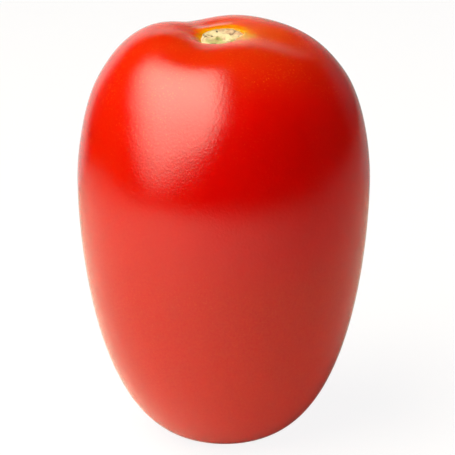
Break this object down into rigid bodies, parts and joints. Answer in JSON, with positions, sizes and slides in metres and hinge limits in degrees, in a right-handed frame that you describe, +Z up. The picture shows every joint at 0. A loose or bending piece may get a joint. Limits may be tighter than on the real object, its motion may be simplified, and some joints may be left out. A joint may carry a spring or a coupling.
{
  "type": "plum tomato",
  "caption": "Whole ripe plum tomato with its stem off, standing upright on its blossom end, with a corky stem scar in the dimple at the top.",
  "frame": {"origin": "centre of the fruit's outline in plan, on the surface it stands on", "axes": "+Z up along the fruit from blossom end to stem scar, -Y is the front, with the tallest lobe to the left at -X"},
  "size_m": [0.0536, 0.0536, 0.0781],
  "materials": {
    "tomato_skin": "smooth waxy skin, semi-gloss, with a matte cork scar at the stem end"
  },
  "bodies": {
    "root": {"tomato": "tomato_skin"}
  },
  "joints": []
}
